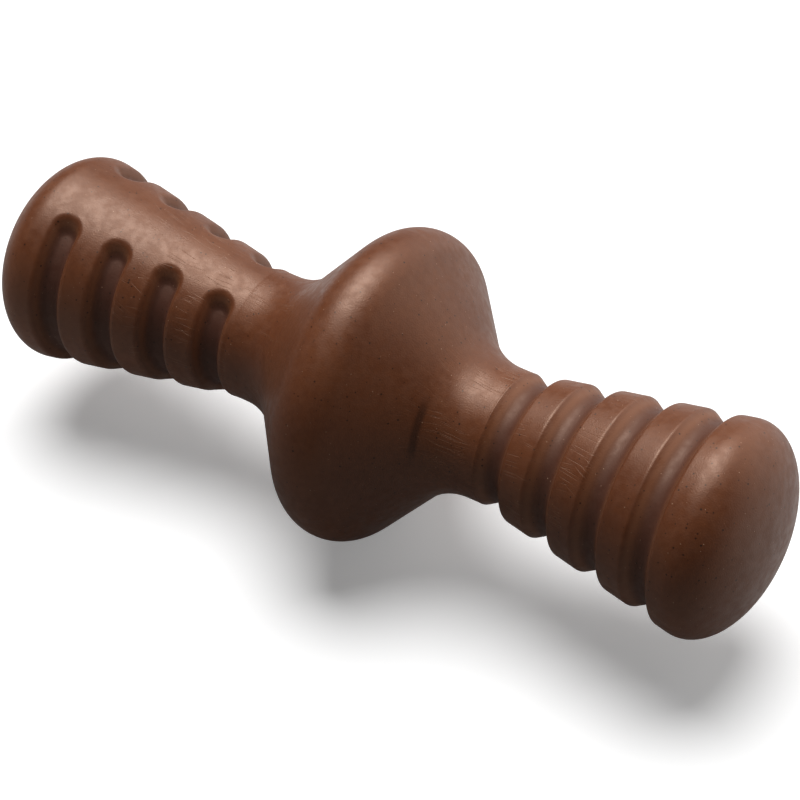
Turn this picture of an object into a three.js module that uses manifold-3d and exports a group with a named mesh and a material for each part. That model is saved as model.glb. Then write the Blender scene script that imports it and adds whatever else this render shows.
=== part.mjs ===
// A dog's chew toy: a solid nylon stick with a bulb round its middle and two flared handles.
// The axis of the stick lies along X and the bulb stands on the plane z = 0.
// One handle is ringed by grooves. The other has two rows of slots with a plain band between them.
import * as THREE from 'three';
import { mergeVertices } from 'three/addons/utils/BufferGeometryUtils.js';
import Module from 'manifold-3d';

// Driving dimensions, in millimetres and degrees
const LENGTH = 180;
const BULB_DIAMETER = 67.2;
const BULB_CREST_RADIUS = 8.4;
const BULB_FLANK_ANGLE = 49.4;
const NECK_DIAMETER = 28;
const NECK_FILLET_RADIUS = 14;
const NECK_LENGTH = 3;
const HANDLE_START_RADIUS = 12;
const END_DIAMETER = 45;
const DOME_LENGTH = 12;
const FIRST_LAND = 0.2;
const PITCH = 12.25;
const GROOVE_END_LAND = 4;
const GROOVE_WIDTH = 6.9;
const GROOVE_INNER_RUN = 2.5;
const GROOVE_OUTER_RUN = 1.8;
const GROOVE_DEPTH = 2.2;
const GROOVE_EDGE_RADIUS = 0.9;
const GROOVE_FLOOR_RADIUS = 2.7;
const SLOT_END_LAND = 3.65;
const SLOT_WIDTH = 6.2;
const SLOT_FLOOR_WIDTH = 3.6;
const SLOT_DEPTH = 2.4;
const SLOT_END_RUN = 1.6;
const SLOT_FLOOR_RADIUS = 0.6;
const SLOT_EDGE_BREAK = 0.6;
const BAND_ANGLE = 46;

// Fineness of the facets
const SEGMENTS = 48;
const CHORD_ERROR = 0.06;
const DOME_STEPS = 7;
const SLOT_STEP_ANGLE = 12;
const SLOT_END_SEGMENTS = 16;

// How far a slot's cutter stands clear of the surface
const CUTTER_RISE = 2;

// Satin brown nylon
const NYLON = { color: 0x824f38, roughness: 0.42, metalness: 0 };

const degrees = THREE.MathUtils.degToRad;

// Stations along the axis and radii that follow from the driving dimensions
const bulbRadius = BULB_DIAMETER / 2;
const neckRadius = NECK_DIAMETER / 2;
const endRadius = END_DIAMETER / 2;
const flankAngle = degrees(BULB_FLANK_ANGLE);
const flankApex = bulbRadius + BULB_CREST_RADIUS * (1 / Math.cos(flankAngle) - 1);
const flankFoot = (flankApex - neckRadius) / Math.tan(flankAngle);
const neckStation = flankFoot + NECK_FILLET_RADIUS * Math.tan(flankAngle / 2);
const taperStart = neckStation + NECK_LENGTH;
const widestStation = LENGTH / 2 - DOME_LENGTH;

// The taper is the straight line from the neck that just touches the domed end
const taperSlope = tangentSlope(widestStation - taperStart, neckRadius, DOME_LENGTH, endRadius);
const taperAngle = Math.atan(taperSlope);
const taperRadius = (station) => neckRadius + taperSlope * (station - taperStart);
const widestTaper = taperRadius(widestStation);
const domeStart = Math.asin((DOME_LENGTH * taperSlope) / widestTaper);

const wasm = await Module();
wasm.setup();

// Slope of the line that starts at height `from`, a distance `run` before an ellipse's centre, and touches it
function tangentSlope(run, from, alongAxis, acrossAxis) {
  const square = run * run - alongAxis * alongAxis;
  const product = from * run;
  const root = Math.sqrt(product * product + square * (acrossAxis * acrossAxis - from * from));
  return (root - product) / square;
}

// Stations of the cuts along a handle, counted back from the land before its widest ring
function cutStations(width, endLand) {
  const last = widestStation - endLand - width / 2;
  const nearest = taperStart + FIRST_LAND + width / 2;
  const count = 1 + Math.floor((last - nearest) / PITCH);
  return Array.from({ length: count }, (_, index) => last - PITCH * (count - 1 - index));
}

// A corner of an outline, with the radius that rounds it
function corner(x, y, radius = 0) {
  return { at: new THREE.Vector2(x, y), radius };
}

// How much of the line to a neighbouring corner an arc may use up
function shareFor(neighbour) {
  return neighbour.radius ? 0.5 : 1;
}

// Points of an open outline whose corners are rounded with tangent arcs
function roundedOutline(corners) {
  const points = [];
  corners.forEach(({ at, radius }, index) => {
    const before = corners[index - 1];
    const after = corners[index + 1];
    if (!radius || !before || !after) {
      points.push(at.clone());
      return;
    }
    const into = at.clone().sub(before.at);
    const away = after.at.clone().sub(at);
    const room = Math.min(into.length() * shareFor(before), away.length() * shareFor(after));
    into.normalize();
    away.normalize();
    const turn = Math.acos(THREE.MathUtils.clamp(into.dot(away), -1, 1));
    const side = Math.sign(into.cross(away));
    const setback = Math.min(radius * Math.tan(turn / 2), room);
    const arcRadius = setback / Math.tan(turn / 2);
    const inward = new THREE.Vector2(-into.y, into.x).multiplyScalar(side);
    const stepAngle = 2 * Math.acos(1 - Math.min(CHORD_ERROR / arcRadius, 1));
    const steps = Math.ceil(turn / stepAngle);
    for (let step = 0; step <= steps; step += 1) {
      const angle = (turn * step) / steps;
      const point = at.clone().addScaledVector(into, arcRadius * Math.sin(angle) - setback);
      points.push(point.addScaledVector(inward, arcRadius * (1 - Math.cos(angle))));
    }
  });
  return points;
}

// Only positions, shared by neighbouring triangles, with no triangle of zero area
function closedGeometry(geometry) {
  geometry.deleteAttribute('normal');
  geometry.deleteAttribute('uv');
  const merged = mergeVertices(geometry);
  const index = [];
  for (let i = 0; i < merged.index.count; i += 3) {
    const [a, b, c] = [0, 1, 2].map((k) => merged.index.getX(i + k));
    if (a !== b && b !== c && c !== a) {
      index.push(a, b, c);
    }
  }
  merged.setIndex(index);
  return merged;
}

// An outline of (station, radius) points turned about the X axis
function revolved(outline) {
  const profile = outline.map(({ x, y }) => new THREE.Vector2(y, x));
  return closedGeometry(new THREE.LatheGeometry(profile, SEGMENTS).rotateZ(-Math.PI / 2));
}

function toSolid(geometry) {
  const vertProperties = new Float32Array(geometry.attributes.position.array);
  const triVerts = new Uint32Array(geometry.index.array);
  return new wasm.Manifold(new wasm.Mesh({ numProp: 3, vertProperties, triVerts }));
}

function toGeometry(solid) {
  const { vertProperties, triVerts } = solid.getMesh();
  const geometry = new THREE.BufferGeometry();
  geometry.setAttribute('position', new THREE.BufferAttribute(vertProperties, 3));
  geometry.setIndex(new THREE.BufferAttribute(triVerts, 1));
  return geometry;
}

// The bulb: two cones with a round crest, swept down into a neck on each side
function bulbGeometry() {
  return revolved(roundedOutline([
    corner(-neckStation, 0),
    corner(-neckStation, neckRadius),
    corner(-flankFoot, neckRadius, NECK_FILLET_RADIUS),
    corner(0, flankApex, BULB_CREST_RADIUS),
    corner(flankFoot, neckRadius, NECK_FILLET_RADIUS),
    corner(neckStation, neckRadius),
    corner(neckStation, 0),
  ]));
}

// A point beside a station on the taper: `along` the taper and `above` its surface
function besideTaper(station, along, above) {
  const x = station + along * Math.cos(taperAngle) - above * Math.sin(taperAngle);
  const y = taperRadius(station) + along * Math.sin(taperAngle) + above * Math.cos(taperAngle);
  return { x, y };
}

// The four corners of a groove turned into the handle, whose wall on the bulb's side slopes more gently
function grooveCorners(station) {
  const halfTop = GROOVE_WIDTH / 2;
  return [
    [-halfTop, 0, GROOVE_EDGE_RADIUS],
    [GROOVE_INNER_RUN - halfTop, -GROOVE_DEPTH, GROOVE_FLOOR_RADIUS],
    [halfTop - GROOVE_OUTER_RUN, -GROOVE_DEPTH, GROOVE_FLOOR_RADIUS],
    [halfTop, 0, GROOVE_EDGE_RADIUS],
  ].map(([along, above, radius]) => {
    const { x, y } = besideTaper(station, along, above);
    return corner(x, y, radius);
  });
}

// The elliptical dome, from the end of the taper over the widest ring to the tip
function domeCorners() {
  const quarter = Array.from({ length: DOME_STEPS }, (_, step) => (Math.PI / 2) * (step / DOME_STEPS));
  const rings = [-domeStart, ...quarter].map((angle) => {
    return corner(widestStation + DOME_LENGTH * Math.sin(angle), endRadius * Math.cos(angle));
  });
  return [...rings, corner(LENGTH / 2, 0)];
}

// A handle that starts at the neck and runs out along +X, with any grooves that go right round it
function handleGeometry(grooves) {
  return revolved(roundedOutline([
    corner(neckStation, 0),
    corner(neckStation, neckRadius),
    corner(taperStart, neckRadius, HANDLE_START_RADIUS),
    ...grooves.flatMap(grooveCorners),
    ...domeCorners(),
  ]));
}

// Half of a slot's section, from the middle of its floor to above the surface, as (along, above) points
function slotHalfSection() {
  const halfTop = SLOT_WIDTH / 2;
  const wallLean = (halfTop - SLOT_FLOOR_WIDTH / 2) / SLOT_DEPTH;
  return roundedOutline([
    corner(0, -SLOT_DEPTH),
    corner(SLOT_FLOOR_WIDTH / 2, -SLOT_DEPTH, SLOT_FLOOR_RADIUS),
    corner(halfTop - SLOT_EDGE_BREAK * wallLean, -SLOT_EDGE_BREAK),
    corner(halfTop + SLOT_EDGE_BREAK + CUTTER_RISE, CUTTER_RISE),
  ]);
}

// An arc round the X axis, from one angle to another, measured from +Z towards +Y
class RingArc extends THREE.Curve {
  constructor(station, radius, from, to) {
    super();
    Object.assign(this, { station, radius, from, to });
  }

  getPoint(share, target = new THREE.Vector3()) {
    const angle = this.from + (this.to - this.from) * share;
    return target.set(this.station, this.radius * Math.sin(angle), this.radius * Math.cos(angle));
  }
}

// The straight-sided run of a slot, swept round the handle, with each half cut off along the slope of its end.
// The number of steps is odd, so that none of them ends on the plane that halves the run.
function slotRun(station, from, to) {
  const half = slotHalfSection();
  const whole = [...half, ...half.slice(1).reverse().map(({ x, y }) => new THREE.Vector2(-x, y))];
  const radius = taperRadius(station);
  const section = whole.map(({ x, y }) => {
    const point = besideTaper(station, x, y);
    return new THREE.Vector2(station - point.x, point.y - radius);
  });
  const steps = 1 + 2 * Math.ceil((to - from) / degrees(SLOT_STEP_ANGLE) / 2);
  const extrudePath = new RingArc(station, radius, from, to);
  const run = toSolid(closedGeometry(new THREE.ExtrudeGeometry(new THREE.Shape(section), { steps, extrudePath })));
  const slope = Math.atan2(SLOT_END_RUN, SLOT_DEPTH);
  const square = Math.PI / 2 - slope;
  const facing = (angle) => [0, Math.sin(angle), Math.cos(angle)];
  const [late, early] = run.splitByPlane(facing((from + to + Math.PI) / 2), 0);
  const start = early.trimByPlane(facing(from + square), radius * Math.sin(slope));
  return start.add(late.trimByPlane(facing(to - square), radius * Math.sin(slope)));
}

// The round end of a slot, turned about the line that stands square to the taper there and sloped into the slot.
// `way` is 1 where the angle grows into the slot and -1 where it shrinks.
function slotEnd(station, angle, way) {
  const profile = [...slotHalfSection(), new THREE.Vector2(0, CUTTER_RISE)];
  const upright = closedGeometry(new THREE.LatheGeometry(profile, SLOT_END_SEGMENTS));
  upright.applyMatrix4(new THREE.Matrix4().makeShear(0, 0, 0, (way * SLOT_END_RUN) / SLOT_DEPTH, 0, 0));
  const seated = upright.rotateZ(taperAngle).translate(station, taperRadius(station), 0);
  return toSolid(seated.rotateX(Math.PI / 2 - angle));
}

// The handle with a row of slots down each side and a plain band above and below
function slottedHandleGeometry() {
  let handle = toSolid(handleGeometry([]));
  for (const station of cutStations(SLOT_WIDTH, SLOT_END_LAND)) {
    const endAngle = Math.asin(SLOT_WIDTH / 2 / taperRadius(station));
    const from = degrees(BAND_ANGLE) / 2 + endAngle;
    for (const start of [from, Math.PI + from]) {
      const stop = start + Math.PI - 2 * from;
      handle = handle.subtract(slotRun(station, start, stop));
      handle = handle.subtract(slotEnd(station, start, 1));
      handle = handle.subtract(slotEnd(station, stop, -1));
    }
  }
  return toGeometry(handle);
}

function piece(name, geometry) {
  const mesh = new THREE.Mesh(geometry, new THREE.MeshStandardMaterial(NYLON));
  mesh.name = name;
  return mesh;
}

const centreBulb = piece('centre_bulb', bulbGeometry());
const ribbedHandle = piece('ribbed_handle', handleGeometry(cutStations(GROOVE_WIDTH, GROOVE_END_LAND)));
const slottedHandle = piece('slotted_handle', slottedHandleGeometry());
slottedHandle.rotation.z = Math.PI;

const chew = new THREE.Group();
chew.add(slottedHandle, centreBulb, ribbedHandle);
chew.position.z = bulbRadius;

export default chew;
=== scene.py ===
# A dog's chew toy in satin brown nylon: a bulb between a ribbed handle and a slotted handle.
# The three sections are one moulding, so their surfaces meet without a step at the two necks.
import math

import bpy
import numpy as np
from mathutils import Matrix, Vector


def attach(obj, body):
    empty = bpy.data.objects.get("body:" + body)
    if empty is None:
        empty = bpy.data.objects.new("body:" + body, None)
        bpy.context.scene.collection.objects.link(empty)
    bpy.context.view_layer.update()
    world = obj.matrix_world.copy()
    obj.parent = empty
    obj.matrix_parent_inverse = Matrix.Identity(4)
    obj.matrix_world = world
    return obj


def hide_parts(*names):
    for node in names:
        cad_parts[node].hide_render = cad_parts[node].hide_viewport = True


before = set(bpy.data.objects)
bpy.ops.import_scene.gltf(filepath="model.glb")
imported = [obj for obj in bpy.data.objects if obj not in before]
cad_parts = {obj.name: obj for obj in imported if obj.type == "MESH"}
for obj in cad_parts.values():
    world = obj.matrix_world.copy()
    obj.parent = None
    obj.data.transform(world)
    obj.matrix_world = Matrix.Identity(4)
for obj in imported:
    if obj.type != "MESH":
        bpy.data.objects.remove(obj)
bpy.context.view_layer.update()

MM = 0.001

# Sizes of the chew, in millimetres and degrees, as in the solids but for the slots' fuller rounding
LENGTH = 180
BULB_DIAMETER = 67.2
BULB_CREST_RADIUS = 8.4
BULB_FLANK_ANGLE = 49.4
NECK_DIAMETER = 28
NECK_FILLET_RADIUS = 14
NECK_LENGTH = 3
HANDLE_START_RADIUS = 12
END_DIAMETER = 45
DOME_LENGTH = 12
PITCH = 12.25
CUTS = 4
GROOVE_END_LAND = 4
GROOVE_WIDTH = 6.9
GROOVE_INNER_RUN = 2.5
GROOVE_OUTER_RUN = 1.8
GROOVE_DEPTH = 2.2
GROOVE_EDGE_RADIUS = 0.9
GROOVE_FLOOR_RADIUS = 2.7
SLOT_END_LAND = 3.65
SLOT_WIDTH = 6.2
SLOT_FLOOR_WIDTH = 3.6
SLOT_DEPTH = 2.4
SLOT_END_RUN = 1.6
SLOT_EDGE_RADIUS = 1.4
SLOT_FLOOR_RADIUS = 1.6
BAND_ANGLE = 46

# Fineness of the meshes, in millimetres, degrees and counts
ARC_STEP = 4.0
ROW_GAP = 0.9
SLOT_ROW_GAP = 0.16
DOME_STEPS = 40
COLUMNS = 256
SLOT_END_MARGIN = 7
SLOT_END_REACH = 25
SLOT_END_STEP = 0.5
SLOT_RUN_STEP = 2.0
SMALLEST_RADIUS = 1e-6

# Stations along the axis and radii that follow from the sizes
bulb_radius = BULB_DIAMETER / 2
neck_radius = NECK_DIAMETER / 2
end_radius = END_DIAMETER / 2
flank = math.radians(BULB_FLANK_ANGLE)
flank_apex = bulb_radius + BULB_CREST_RADIUS * (1 / math.cos(flank) - 1)
flank_foot = (flank_apex - neck_radius) / math.tan(flank)
neck_station = flank_foot + NECK_FILLET_RADIUS * math.tan(flank / 2)
taper_start = neck_station + NECK_LENGTH
widest_station = LENGTH / 2 - DOME_LENGTH


def tangent_slope(run, start, along, across):
    """Slope of the line from height `start`, `run` before an ellipse's centre, that touches the ellipse."""
    square = run * run - along * along
    product = start * run
    root = math.sqrt(product * product + square * (across * across - start * start))
    return (root - product) / square


taper_slope = tangent_slope(widest_station - taper_start, neck_radius, DOME_LENGTH, end_radius)
taper_angle = math.atan(taper_slope)


def taper_radius(station):
    return neck_radius + taper_slope * (station - taper_start)


dome_start = math.asin(DOME_LENGTH * taper_slope / taper_radius(widest_station))


def rounded_outline(corners):
    """Points of an open outline of (x, y, radius) corners, rounded by tangent arcs that fit between them."""
    points = []
    for index, (x, y, radius) in enumerate(corners):
        at = np.array((x, y), float)
        if not radius:
            points.append(at)
            continue
        into = at - np.array(corners[index - 1][:2])
        away = np.array(corners[index + 1][:2]) - at
        room_before = np.linalg.norm(into) * (0.5 if corners[index - 1][2] else 1)
        room_after = np.linalg.norm(away) * (0.5 if corners[index + 1][2] else 1)
        into = into / np.linalg.norm(into)
        away = away / np.linalg.norm(away)
        turn = math.acos(np.clip(into @ away, -1, 1))
        side = np.sign(into[0] * away[1] - into[1] * away[0])
        inward = side * np.array((-into[1], into[0]))
        setback = min(radius * math.tan(turn / 2), room_before, room_after)
        arc_radius = setback / math.tan(turn / 2)
        for angle in np.linspace(0, turn, 2 + int(math.degrees(turn) / ARC_STEP)):
            forward = arc_radius * math.sin(angle) - setback
            points.append(at + forward * into + arc_radius * (1 - math.cos(angle)) * inward)
    return np.array(points)


def with_rows_between(outline, gap):
    """The outline with points added on its straight runs, so that no two are further apart than the gap."""
    rows = [outline[0]]
    for before, after in zip(outline[:-1], outline[1:]):
        pieces = math.ceil(round(np.linalg.norm(after - before), 6) / gap)
        rows.extend(before + (after - before) * step / pieces for step in range(1, pieces + 1))
    return np.array(rows)


def beside_taper(station, along, above):
    """A point (station, radius) beside the taper: along its surface, and above it."""
    x = station + along * math.cos(taper_angle) - above * math.sin(taper_angle)
    y = taper_radius(station) + along * math.sin(taper_angle) + above * math.cos(taper_angle)
    return x, y


def cut_stations(width, end_land):
    """Middles of the cuts on a handle, counted back from the land before its widest ring."""
    last = widest_station - end_land - width / 2
    return [last - PITCH * step for step in reversed(range(CUTS))]


def dome_points():
    """The elliptical dome, from the end of the taper over the widest ring to the tip."""
    angles = np.linspace(-dome_start, math.pi / 2, DOME_STEPS)
    stations = widest_station + DOME_LENGTH * np.sin(angles)
    return np.column_stack((stations, end_radius * np.cos(angles)))


def bulb_outline():
    return with_rows_between(rounded_outline([
        (-neck_station, neck_radius, 0),
        (-flank_foot, neck_radius, NECK_FILLET_RADIUS),
        (0, flank_apex, BULB_CREST_RADIUS),
        (flank_foot, neck_radius, NECK_FILLET_RADIUS),
        (neck_station, neck_radius, 0),
    ]), ROW_GAP)


def handle_outline(grooves):
    corners = [(neck_station, neck_radius, 0), (taper_start, neck_radius, HANDLE_START_RADIUS)]
    for station in grooves:
        for along, above, radius in (
            (-GROOVE_WIDTH / 2, 0, GROOVE_EDGE_RADIUS),
            (-GROOVE_WIDTH / 2 + GROOVE_INNER_RUN, -GROOVE_DEPTH, GROOVE_FLOOR_RADIUS),
            (GROOVE_WIDTH / 2 - GROOVE_OUTER_RUN, -GROOVE_DEPTH, GROOVE_FLOOR_RADIUS),
            (GROOVE_WIDTH / 2, 0, GROOVE_EDGE_RADIUS),
        ):
            corners.append((*beside_taper(station, along, above), radius))
    dome = dome_points()
    corners.append((*dome[0], 0))
    return with_rows_between(np.vstack((rounded_outline(corners), dome[1:])), ROW_GAP)


def slot_section():
    """Half of a slot's section from the middle of its floor outwards: half width and depth."""
    half_top = SLOT_WIDTH / 2
    half_floor = SLOT_FLOOR_WIDTH / 2
    outline = rounded_outline([
        (0, SLOT_DEPTH, 0),
        (half_floor, SLOT_DEPTH, SLOT_FLOOR_RADIUS),
        (half_top, 0, SLOT_EDGE_RADIUS),
        (half_top + SLOT_WIDTH, 0, 0),
    ])
    return outline[1:-1]


def slot_depth(along, around):
    """Depth of one slot at points `along` the taper and `around` beyond the middle of its rounded end."""
    widths, depths = slot_section().T
    shifts = SLOT_END_RUN * depths / SLOT_DEPTH
    past_end = np.maximum(around[..., None] + shifts, 0)
    outside = np.hypot(along[..., None], past_end) - widths
    depth = np.where(outside[..., 0] <= 0, SLOT_DEPTH, 0.0)
    for inner in range(len(widths) - 1):
        near, far = outside[..., inner], outside[..., inner + 1]
        between = (near > 0) & (far <= 0)
        share = near / np.where(between, near - far, 1)
        step = depths[inner] + (depths[inner + 1] - depths[inner]) * share
        depth = np.where(between, step, depth)
    return depth


def slotted_rows():
    """Rows of the slotted handle: its plain outline, with many more rows across the slots."""
    plain = handle_outline([])
    reach = SLOT_WIDTH / 2 + SLOT_EDGE_RADIUS
    fine = [
        np.array(beside_taper(station, along, 0))
        for station in cut_stations(SLOT_WIDTH, SLOT_END_LAND)
        for along in np.arange(-reach, reach + SLOT_ROW_GAP / 2, SLOT_ROW_GAP)
    ]
    stations = np.array([row[0] for row in fine])
    clear = [row for row in plain if np.abs(stations - row[0]).min() > SLOT_ROW_GAP]
    return np.array(sorted(clear + fine, key=lambda row: (row[0], -row[1])))


def slotted_angles():
    """Angles round the slotted handle, measured from the top, close together at the slots' ends."""
    edge = BAND_ANGLE / 2 - SLOT_END_MARGIN
    band = np.arange(-edge, edge, SLOT_RUN_STEP)
    ends = np.arange(edge, edge + SLOT_END_REACH, SLOT_END_STEP)
    run = np.arange(edge + SLOT_END_REACH, 180 - edge - SLOT_END_REACH, SLOT_RUN_STEP)
    half_turn = np.concatenate((band, ends, run, 180 - ends[:0:-1]))
    return np.radians(np.concatenate((half_turn, 180 + half_turn)))


def slotted_radii(stations, radii, angles):
    """Radii of the slotted handle with its slots sunk into the taper."""
    for station in cut_stations(SLOT_WIDTH, SLOT_END_LAND):
        radius = taper_radius(station)
        end_angle = BAND_ANGLE / 2 + math.degrees(SLOT_WIDTH / 2 / radius)
        from_top = np.abs((np.degrees(angles) + 90) % 180 - 90)
        around = np.radians(end_angle - from_top) * radius
        along = (stations - station) / math.cos(taper_angle)
        radii = radii - slot_depth(along, around) / math.cos(taper_angle)
    return radii


def surface_normals(rows, radii, angles):
    """Normals of rings about the X axis, as parts along the axis, outwards and round it."""
    lengths = np.concatenate(([0], np.cumsum(np.linalg.norm(np.diff(rows, axis=0), axis=1))))
    along = np.gradient(rows[:, 0], lengths, edge_order=2)[:, None]
    outward = np.gradient(radii, lengths, axis=0, edge_order=2)
    looped = np.concatenate((angles[-1:] - 2 * math.pi, angles, angles[:1] + 2 * math.pi))
    padded = np.concatenate((radii[:, -1:], radii, radii[:, :1]), axis=1)
    turning = np.gradient(padded, looped, axis=1)[:, 1:-1] / np.maximum(radii, SMALLEST_RADIUS)
    normals = np.stack((-outward, np.broadcast_to(along, radii.shape), -along * turning), axis=-1)
    return normals / np.linalg.norm(normals, axis=-1, keepdims=True)


def even_radii(rows, angles):
    return np.repeat(rows[:, 1:], len(angles), axis=1)


def recess_depths(verts):
    """How deep points lie in the grooves and slots of the handles, in millimetres, and 0 elsewhere."""
    stations = np.abs(verts[:, 0])
    radii = np.hypot(verts[:, 1], verts[:, 2] - bulb_radius)
    depths = (taper_radius(stations) - radii) * math.cos(taper_angle)
    on_taper = (stations > taper_start) & (stations < widest_station - DOME_LENGTH * math.sin(dome_start))
    return np.where(on_taper, np.maximum(depths, 0), 0)


def link_piece(name, data):
    piece = bpy.data.objects.new(name, data)
    bpy.context.scene.collection.objects.link(piece)
    return piece


def tube_piece(name, node, rows, radii, angles, facing):
    """A closed smooth mesh of rings round the chew's axis, flat at the necks and pointed at a tip.

    The rings run outwards from the neck, and `facing` is 1 for a piece on the +X side and -1 on the other.
    """
    across = np.stack((np.zeros_like(angles), np.sin(angles), np.cos(angles)), axis=-1)
    round_way = np.stack((np.zeros_like(angles), np.cos(angles), -np.sin(angles)), axis=-1)
    axis = np.array((facing, 0, 0))
    middle = np.array((0, 0, bulb_radius))
    points = middle + rows[:, None, :1] * axis + radii[..., None] * across
    parts = surface_normals(rows, radii, angles)
    normals = parts[..., :1] * axis + parts[..., 1:2] * across + parts[..., 2:] * round_way

    columns = len(angles)
    pointed = radii[-1, 0] < SMALLEST_RADIUS
    verts = points.reshape(-1, 3)
    vert_normals = normals.reshape(-1, 3)
    faces = []
    for row in range(len(rows) - 1):
        for column in range(columns):
            beside = (column + 1) % columns
            low, high = row * columns, (row + 1) * columns
            faces.append((low + column, low + beside, high + beside, high + column))
    if pointed:
        tip = (len(rows) - 1) * columns
        verts = verts[:tip + 1]
        vert_normals = vert_normals[:tip + 1]
        vert_normals[tip] = axis
        faces = [tuple(min(corner, tip) for corner in face) for face in faces]
        faces = [face[:3] if face[2] == face[3] else face for face in faces]
    faces = [face[::-facing] for face in faces]
    loop_normals = [vert_normals[corner] for face in faces for corner in face]
    caps = [tuple(range(columns))[::facing]]
    cap_normals = [-axis]
    if not pointed:
        caps.append(tuple(range(len(verts) - columns, len(verts)))[::-facing])
        cap_normals.append(axis)
    for cap, normal in zip(caps, cap_normals):
        faces.append(cap)
        loop_normals.extend([normal] * columns)

    mesh = bpy.data.meshes.new(name)
    mesh.from_pydata((verts * MM).tolist(), [], faces)
    mesh.normals_split_custom_set(loop_normals)
    mesh.attributes.new("recess", "FLOAT", "POINT").data.foreach_set("value", recess_depths(verts))
    piece = link_piece(name, mesh)
    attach(piece, "root")
    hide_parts(node)
    return piece


# The three sections
even_angles = np.linspace(0, 2 * math.pi, COLUMNS, endpoint=False)
bulb_rows = bulb_outline()
bulb = tube_piece(
    "bulb_surface", "centre_bulb", bulb_rows, even_radii(bulb_rows, even_angles), even_angles, 1
)

ribbed_rows = handle_outline(cut_stations(GROOVE_WIDTH, GROOVE_END_LAND))
ribbed = tube_piece(
    "ribbed_surface", "ribbed_handle", ribbed_rows, even_radii(ribbed_rows, even_angles), even_angles, 1
)

slot_rows = slotted_rows()
slot_angles = slotted_angles()
slot_radii = slotted_radii(slot_rows[:, :1], even_radii(slot_rows, slot_angles), slot_angles[None, :])
slotted = tube_piece("slotted_surface", "slotted_handle", slot_rows, slot_radii, slot_angles, -1)


def add_node(tree, kind, inputs, **settings):
    """A node with its settings made and each input either linked to an output or set to a value."""
    node = tree.nodes.new(kind)
    for setting, value in settings.items():
        setattr(node, setting, value)
    for socket, value in inputs.items():
        if isinstance(value, bpy.types.NodeSocket):
            tree.links.new(value, node.inputs[socket])
        else:
            node.inputs[socket].default_value = value
    return node


def maths(tree, operation, first, second=0.0):
    return add_node(tree, "ShaderNodeMath", {0: first, 1: second}, operation=operation).outputs[0]


def ramp(tree, value, span, to=(0.0, 1.0)):
    """A value taken smoothly from one span to another and held at its ends."""
    inputs = {"Value": value, "From Min": span[0], "From Max": span[1], "To Min": to[0], "To Max": to[1]}
    return add_node(tree, "ShaderNodeMapRange", inputs, interpolation_type="SMOOTHSTEP").outputs[0]


def blend(tree, share, under, over):
    """One colour with a share of another laid over it, by the colour sockets of a Mix node."""
    inputs = {0: share, 6: under, 7: over}
    return add_node(tree, "ShaderNodeMix", inputs, data_type="RGBA").outputs[2]


def noise(tree, place, scale, detail):
    inputs = {"Vector": place, "Scale": scale, "Detail": detail}
    return add_node(tree, "ShaderNodeTexNoise", inputs).outputs["Fac"]


# Satin brown nylon: lengths in millimetres, scales per millimetre, and each span from none to full
NYLON_PALE = (0.186, 0.06, 0.024, 1)
NYLON_DEEP = (0.148, 0.045, 0.018, 1)
NYLON_IOR = 1.53
GLOSS_LEVEL = 0.88
GLOSS_TINT = (1, 0.72, 0.57, 1)
CLOUD_SCALE = 0.06
CLOUD_DETAIL = 3
CLOUD_SHARE = 0.6
GRAIN_SCALE = 0.9
GRAIN_DETAIL = 4
MOTTLE_SPAN = (0.35, 0.65)

# Painted light on the walls of the grooves and slots and painted shade on their floors, by depth
WALL_LIGHT_COLOUR = (0.22, 0.08, 0.036, 1)
WALL_LIGHT_SPAN = (0.2, 1.0)
RECESS_SHADE_COLOUR = (0.09, 0.029, 0.017, 1)
RECESS_SHADE_SPAN = (1.0, 2.4)

# A short dark line of painted shade on the bulb beside one neck, at an angle in degrees with a span in
# radians
CREASE_SHADE_STATION = 18.2
CREASE_SHADE_WIDTH_SPAN = (1.0, 0.2)
CREASE_SHADE_ANGLE = -62
CREASE_SHADE_ANGLE_SPAN = (0.5, 0.2)
CREASE_SHADE_STRENGTH = 0.6

# Dark specks and pale flecks
SPECK_AND_SHADE_COLOUR = (0.03, 0.011, 0.007, 1)
SPECK_CELL = 1.1
SPECK_RADII = (0.1, 0.28)
SPECK_SHARE = 0.4
SPECK_FADE = (1.0, 0.5)
FLECK_COLOUR = (0.5, 0.3, 0.2, 1)
FLECK_CELL = 0.9
FLECK_RADII = (0.05, 0.13)
FLECK_SHARE = 0.25

# Scratches where the chew is gripped: angle in radians, length, width and share of the cells
SCRATCH_LAYERS = [(0.12, 9.0, 0.22, 0.14), (-0.15, 6.0, 0.2, 0.1), (0.4, 7.0, 0.22, 0.04)]
SCRATCH_FADE = (0.45, 0.1)
SCRATCH_COLOUR = (0.5, 0.32, 0.22, 1)
SCRATCH_PALENESS = 0.14
GIRTH_RADIUS = 18
GRIP_INNER_SPAN = (12, 24)
GRIP_OUTER_SPAN = (70, 48)
GRIP_DEPTH_SPAN = (0.8, 0.2)
WEAR_SCALE = 0.12
WEAR_DETAIL = 2
WEAR_SPAN = (0.38, 0.55)

# Fine pebbling and uneven gloss
PEBBLE_SCALE = 3.2
PEBBLE_DETAIL = 2
PEBBLE_HEIGHT = 1.3
BUMP_HEIGHT = 0.025
ROUGH_SCALE = 0.5
ROUGH_DETAIL = 4
ROUGH_SPAN = (0.3, 0.7)
ROUGHNESS = (0.36, 0.5)
RECESS_ROUGH_SPAN = (0.3, 2.0)
RECESS_ROUGHNESS = (0.0, 0.15)


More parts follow.
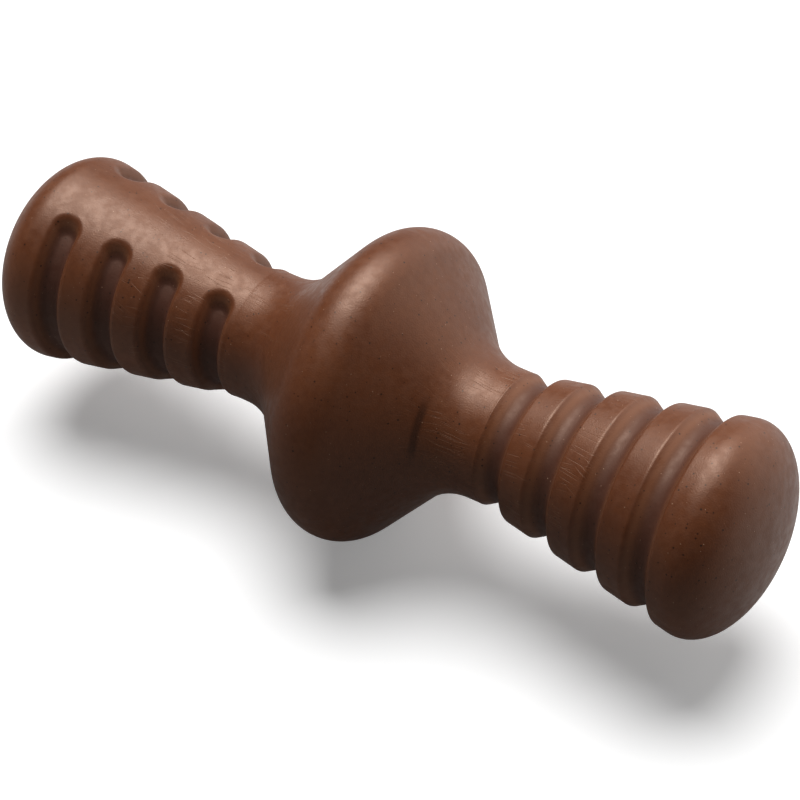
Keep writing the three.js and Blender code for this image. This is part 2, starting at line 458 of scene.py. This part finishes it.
def specks(tree, place, cell, radii, share):
    """Round specks, one to a cell of the given size in part of the cells, with radii between two limits."""
    cells = add_node(tree, "ShaderNodeTexVoronoi", {"Vector": place, "Scale": 1 / cell})
    chance = add_node(tree, "ShaderNodeSeparateColor", {0: cells.outputs["Color"]}).outputs[0]
    radius = add_node(tree, "ShaderNodeMapRange", {
        "Value": chance,
        "From Min": 1 - share,
        "From Max": 1,
        "To Min": radii[0] / cell,
        "To Max": radii[1] / cell,
    }).outputs[0]
    chosen = maths(tree, "GREATER_THAN", chance, 1 - share)
    inside = maths(tree, "DIVIDE", cells.outputs["Distance"], radius)
    return maths(tree, "MULTIPLY", ramp(tree, inside, SPECK_FADE), chosen)


def scratches(tree, skin, angle, length, width, share):
    """Straight scratches at an angle to the axis, on the surface unrolled into (station, girth)."""
    turned = add_node(tree, "ShaderNodeVectorRotate", {
        "Vector": skin,
        "Angle": angle,
    }, rotation_type="Z_AXIS").outputs[0]
    stretched = add_node(tree, "ShaderNodeVectorMath", {
        0: turned,
        1: (1 / length, 1 / width, 0),
    }, operation="MULTIPLY").outputs[0]
    cells = add_node(tree, "ShaderNodeTexVoronoi", {"Vector": stretched, "Scale": 1}, voronoi_dimensions="2D")
    chance = add_node(tree, "ShaderNodeSeparateColor", {0: cells.outputs["Color"]}).outputs[0]
    chosen = maths(tree, "GREATER_THAN", chance, 1 - share)
    return maths(tree, "MULTIPLY", ramp(tree, cells.outputs["Distance"], SCRATCH_FADE), chosen)


# The nylon's colour, relief and gloss, by place on the chew, turn round its axis and depth in a cut
nylon = bpy.data.materials.new("nylon")
nylon.use_nodes = True
tree = nylon.node_tree
shader = tree.nodes["Principled BSDF"]

place = add_node(tree, "ShaderNodeMapping", {
    "Vector": add_node(tree, "ShaderNodeTexCoord", {}).outputs["Object"],
    "Location": (0, 0, -bulb_radius),
    "Scale": (1 / MM, 1 / MM, 1 / MM),
}).outputs[0]
parts = add_node(tree, "ShaderNodeSeparateXYZ", {0: place}).outputs
turn = maths(tree, "ARCTAN2", parts["Y"], parts["Z"])
girth = maths(tree, "MULTIPLY", turn, GIRTH_RADIUS)
skin = add_node(tree, "ShaderNodeCombineXYZ", {"X": parts["X"], "Y": girth}).outputs[0]
recess = add_node(tree, "ShaderNodeAttribute", {}, attribute_name="recess").outputs["Fac"]

clouds = maths(tree, "MULTIPLY", noise(tree, place, CLOUD_SCALE, CLOUD_DETAIL), CLOUD_SHARE)
grain = maths(tree, "MULTIPLY", noise(tree, place, GRAIN_SCALE, GRAIN_DETAIL), 1 - CLOUD_SHARE)
colour = blend(tree, ramp(tree, maths(tree, "ADD", clouds, grain), MOTTLE_SPAN), NYLON_DEEP, NYLON_PALE)
# Painted light: walls paler by depth; painted shade: floors darker by depth
colour = blend(tree, ramp(tree, recess, WALL_LIGHT_SPAN), colour, WALL_LIGHT_COLOUR)
colour = blend(tree, ramp(tree, recess, RECESS_SHADE_SPAN), colour, RECESS_SHADE_COLOUR)

# Painted shade: a short dark line on the bulb beside one neck, in the dark specks' colour
off_station = maths(tree, "ABSOLUTE", maths(tree, "SUBTRACT", parts["X"], CREASE_SHADE_STATION))
off_angle = maths(tree, "ABSOLUTE", maths(tree, "SUBTRACT", turn, math.radians(CREASE_SHADE_ANGLE)))
crease_shade = ramp(tree, off_station, CREASE_SHADE_WIDTH_SPAN, (0.0, CREASE_SHADE_STRENGTH))
crease_shade = maths(tree, "MULTIPLY", crease_shade, ramp(tree, off_angle, CREASE_SHADE_ANGLE_SPAN))
colour = blend(tree, crease_shade, colour, SPECK_AND_SHADE_COLOUR)

colour = blend(tree, specks(tree, place, SPECK_CELL, SPECK_RADII, SPECK_SHARE), colour, SPECK_AND_SHADE_COLOUR)
colour = blend(tree, specks(tree, place, FLECK_CELL, FLECK_RADII, FLECK_SHARE), colour, FLECK_COLOUR)

from_middle = maths(tree, "ABSOLUTE", parts["X"])
worn = ramp(tree, noise(tree, place, WEAR_SCALE, WEAR_DETAIL), WEAR_SPAN)
worn = maths(tree, "MULTIPLY", worn, ramp(tree, from_middle, GRIP_INNER_SPAN))
worn = maths(tree, "MULTIPLY", worn, ramp(tree, from_middle, GRIP_OUTER_SPAN))
worn = maths(tree, "MULTIPLY", worn, ramp(tree, recess, GRIP_DEPTH_SPAN))
scored = scratches(tree, skin, *SCRATCH_LAYERS[0])
for layer in SCRATCH_LAYERS[1:]:
    scored = maths(tree, "ADD", scored, scratches(tree, skin, *layer))
scored = maths(tree, "MULTIPLY", scored, worn)
colour = blend(tree, maths(tree, "MULTIPLY", scored, SCRATCH_PALENESS), colour, SCRATCH_COLOUR)
tree.links.new(colour, shader.inputs["Base Color"])

pebbles = maths(tree, "MULTIPLY", noise(tree, place, PEBBLE_SCALE, PEBBLE_DETAIL), PEBBLE_HEIGHT)
height = maths(tree, "SUBTRACT", pebbles, scored)
bump = add_node(tree, "ShaderNodeBump", {"Height": height, "Strength": 1.0, "Distance": BUMP_HEIGHT * MM})
tree.links.new(bump.outputs[0], shader.inputs["Normal"])
rough = ramp(tree, noise(tree, place, ROUGH_SCALE, ROUGH_DETAIL), ROUGH_SPAN, ROUGHNESS)
rough = maths(tree, "ADD", rough, ramp(tree, recess, RECESS_ROUGH_SPAN, RECESS_ROUGHNESS))
tree.links.new(rough, shader.inputs["Roughness"])
shader.inputs["IOR"].default_value = NYLON_IOR
shader.inputs["Specular IOR Level"].default_value = GLOSS_LEVEL
shader.inputs["Specular Tint"].default_value = GLOSS_TINT
for piece in (bulb, ribbed, slotted):
    piece.data.materials.append(nylon)

# White floor, in metres: it glows a little where it is seen, which keeps the shadow light.
# It throws more light up at the left, and the gloss sees more of it behind the chew than in front.
FLOOR_HALF = 10.0
FLOOR_COLOUR = (1, 1, 1, 1)
FLOOR_GLOW = 0.25
BOUNCE_SPAN_X = (-0.12, -0.05)
BOUNCE_SHARES = (1.0, 0.24)
SHEEN_FRONT_Y = -0.2
SHEEN_NEAR_Y = -0.05
SHEEN_BACK_Y = 0.06
SHEEN_FRONT = 0.01
SHEEN_NEAR = 0.1
SHEEN_BACK = 0.52
floor_corners = [(-1, -1), (1, -1), (1, 1), (-1, 1)]
floor_mesh = bpy.data.meshes.new("floor")
floor_mesh.from_pydata([(x * FLOOR_HALF, y * FLOOR_HALF, 0) for x, y in floor_corners], [], [(0, 1, 2, 3)])
link_piece("floor", floor_mesh)

paper = bpy.data.materials.new("paper")
paper.use_nodes = True
tree = paper.node_tree
tree.nodes.remove(tree.nodes["Principled BSDF"])
rays = add_node(tree, "ShaderNodeLightPath", {}).outputs
spot = add_node(tree, "ShaderNodeSeparateXYZ", {
    0: add_node(tree, "ShaderNodeTexCoord", {}).outputs["Object"],
}).outputs
white = add_node(tree, "ShaderNodeBsdfDiffuse", {"Color": FLOOR_COLOUR}).outputs[0]
glow = add_node(tree, "ShaderNodeEmission", {"Strength": FLOOR_GLOW}).outputs[0]
seen = add_node(tree, "ShaderNodeAddShader", {0: white, 1: glow}).outputs[0]
bounce = maths(tree, "MULTIPLY", ramp(tree, spot["X"], BOUNCE_SPAN_X, BOUNCE_SHARES), rays["Is Diffuse Ray"])
bounced = add_node(tree, "ShaderNodeBsdfDiffuse", {"Color": bounce}).outputs[0]
sheen = ramp(tree, spot["Y"], (SHEEN_FRONT_Y, SHEEN_NEAR_Y), (SHEEN_FRONT, SHEEN_NEAR))
more_sheen = ramp(tree, spot["Y"], (SHEEN_NEAR_Y, SHEEN_BACK_Y), (0.0, SHEEN_BACK - SHEEN_NEAR))
sheen = maths(tree, "ADD", sheen, more_sheen)
looking = maths(tree, "ADD", rays["Is Camera Ray"], rays["Is Transmission Ray"])
looking = maths(tree, "ADD", looking, maths(tree, "MULTIPLY", rays["Is Glossy Ray"], sheen))
surface = add_node(tree, "ShaderNodeMixShader", {0: looking, 1: bounced, 2: seen}).outputs[0]
tree.links.new(surface, tree.nodes["Material Output"].inputs["Surface"])
floor_mesh.materials.append(paper)

# A wide soft light overhead, a little behind and to the left, and a dim room low down behind
KEY_FROM = Vector((-0.18, 0.23, 0.95))
KEY_SPREAD = 50
KEY_ENERGY = 3.2
ROOM_FROM = Vector((0.42, 0.89, 0.17))
ROOM_EDGE = 60
ROOM_FRONT = (0, 0, 0, 1)
ROOM_BACK = (1, 1, 1, 1)
key = bpy.data.lights.new("key", "SUN")
key.energy = KEY_ENERGY
key.angle = math.radians(KEY_SPREAD)
link_piece("key", key).rotation_euler = (-KEY_FROM).to_track_quat("-Z", "Y").to_euler()

world = bpy.data.worlds.new("room")
world.use_nodes = True
bpy.context.scene.world = world
tree = world.node_tree
towards = add_node(tree, "ShaderNodeVectorMath", {
    0: add_node(tree, "ShaderNodeTexCoord", {}).outputs["Generated"],
    1: ROOM_FROM.normalized(),
}, operation="DOT_PRODUCT").outputs["Value"]
room_span = (math.cos(math.radians(ROOM_EDGE)), 1)
room = blend(tree, ramp(tree, towards, room_span), ROOM_FRONT, ROOM_BACK)
tree.links.new(room, tree.nodes["Background"].inputs["Color"])

# Camera at the photograph's angle, in millimetres and degrees
CAMERA_AT = Vector((244.85, -342.17, 411.68))
CAMERA_AIM = Vector((5.49, -1.94, 33.7))
CAMERA_ROLL = -2.283
CAMERA_LENS = 125.07
CAMERA_SENSOR = 36
CAMERA_NEAREST = 10
CAMERA_FURTHEST = 10000
lens = bpy.data.cameras.new("camera")
lens.lens = CAMERA_LENS
lens.sensor_width = CAMERA_SENSOR
lens.clip_start = CAMERA_NEAREST * MM
lens.clip_end = CAMERA_FURTHEST * MM
camera = link_piece("camera", lens)
facing = (CAMERA_AIM - CAMERA_AT).to_track_quat("-Z", "Y").to_matrix().to_4x4()
roll = Matrix.Rotation(math.radians(CAMERA_ROLL), 4, "Z")
camera.matrix_world = Matrix.Translation(CAMERA_AT * MM) @ facing @ roll
bpy.context.scene.camera = camera

bpy.context.scene.view_settings.view_transform = "Standard"
